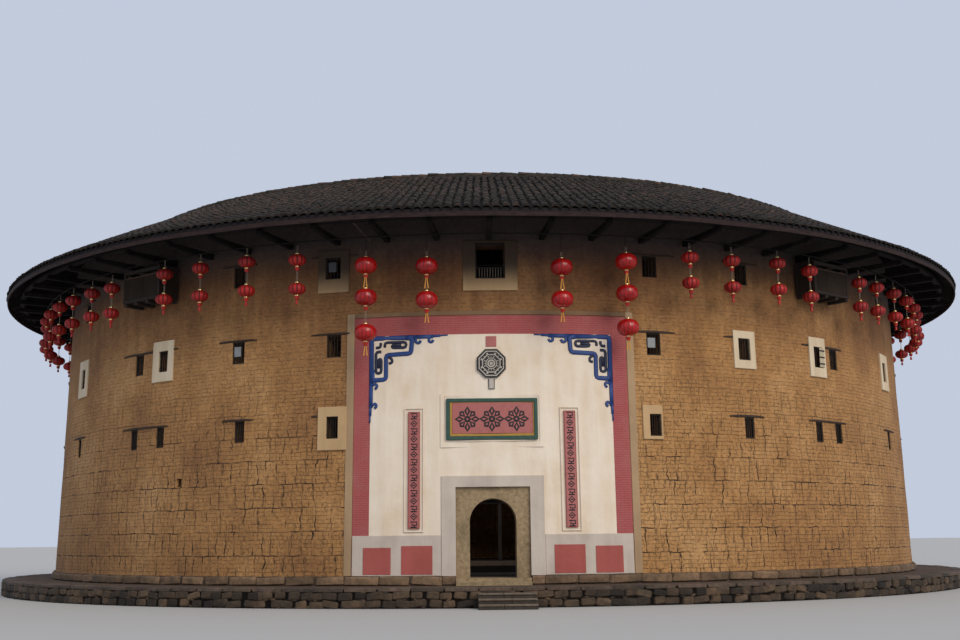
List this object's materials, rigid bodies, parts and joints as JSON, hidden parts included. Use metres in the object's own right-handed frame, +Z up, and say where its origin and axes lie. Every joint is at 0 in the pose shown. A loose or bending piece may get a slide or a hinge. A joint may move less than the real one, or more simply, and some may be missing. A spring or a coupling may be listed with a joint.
{
  "type": "tulou roundhouse, 1:2 scale model",
  "caption": "Ring-shaped rammed-earth house round an open courtyard, with a plastered gate front, small windows, lookouts, lantern strings and a wide tiled roof, at half size.",
  "frame": {"origin": "on the ground, on the axis of the ring", "axes": "+Z up, the gate faces -Y, +X to the right of someone who faces the gate"},
  "size_m": [21.45, 21.72, 7.535],
  "materials": {
    "rubble_stone": "weathered fieldstone with mortar joints",
    "granite": "dressed granite, worn and stained",
    "rammed_earth": "bare rammed earth with lift lines and cracks",
    "grey_plaster": "matte lime plaster, greyed",
    "white_plaster": "matte lime plaster, stained",
    "pink_plaster": "faded red limewash",
    "painted_board": "painted board, matte",
    "clay_tile": "unglazed grey clay tile",
    "aged_timber": "unpainted old fir",
    "lantern_silk": "red silk on ribs"
  },
  "bodies": {
    "root": {"stone_base_front": "rubble_stone", "stone_base_right": "rubble_stone", "stone_base_back": "rubble_stone", "stone_base_left": "rubble_stone", "front_steps": "granite", "wall_front_left": "rammed_earth", "wall_front_right": "rammed_earth", "wall_over_gate": "rammed_earth", "wall_round_1": "rammed_earth", "wall_round_2": "rammed_earth", "wall_round_3": "rammed_earth", "wall_round_4": "rammed_earth", "wall_round_5": "rammed_earth", "wall_round_6": "rammed_earth", "gate_sill": "granite", "gate_jamb_left": "granite", "gate_jamb_right": "granite", "gate_arch": "granite", "gate_surround": "grey_plaster", "facade_plaster": "white_plaster", "facade_border": "pink_plaster", "signboard": "painted_board", "door_strip_left": "pink_plaster", "door_strip_right": "pink_plaster", "trigram_plaque": "painted_board", "roof_outer_front": "clay_tile", "roof_outer_right": "clay_tile", "roof_outer_back": "clay_tile", "roof_outer_left": "clay_tile", "roof_inner_front": "clay_tile", "roof_inner_right": "clay_tile", "roof_inner_back": "clay_tile", "roof_inner_left": "clay_tile", "eave_beams_front": "aged_timber", "eave_beams_right": "aged_timber", "eave_beams_back": "aged_timber", "eave_beams_left": "aged_timber", "lanterns_front": "lantern_silk", "lanterns_right": "lantern_silk", "lanterns_back": "lantern_silk", "lanterns_left": "lantern_silk", "lookout_front_right": "aged_timber", "lookout_back_right": "aged_timber", "lookout_back_left": "aged_timber", "lookout_front_left": "aged_timber", "gallery_floor_2": "aged_timber", "gallery_floor_3": "aged_timber", "gallery_floor_4": "aged_timber", "gallery_posts_1": "aged_timber", "gallery_posts_2": "aged_timber", "gallery_posts_3": "aged_timber", "gallery_posts_4": "aged_timber"}
  },
  "joints": []
}
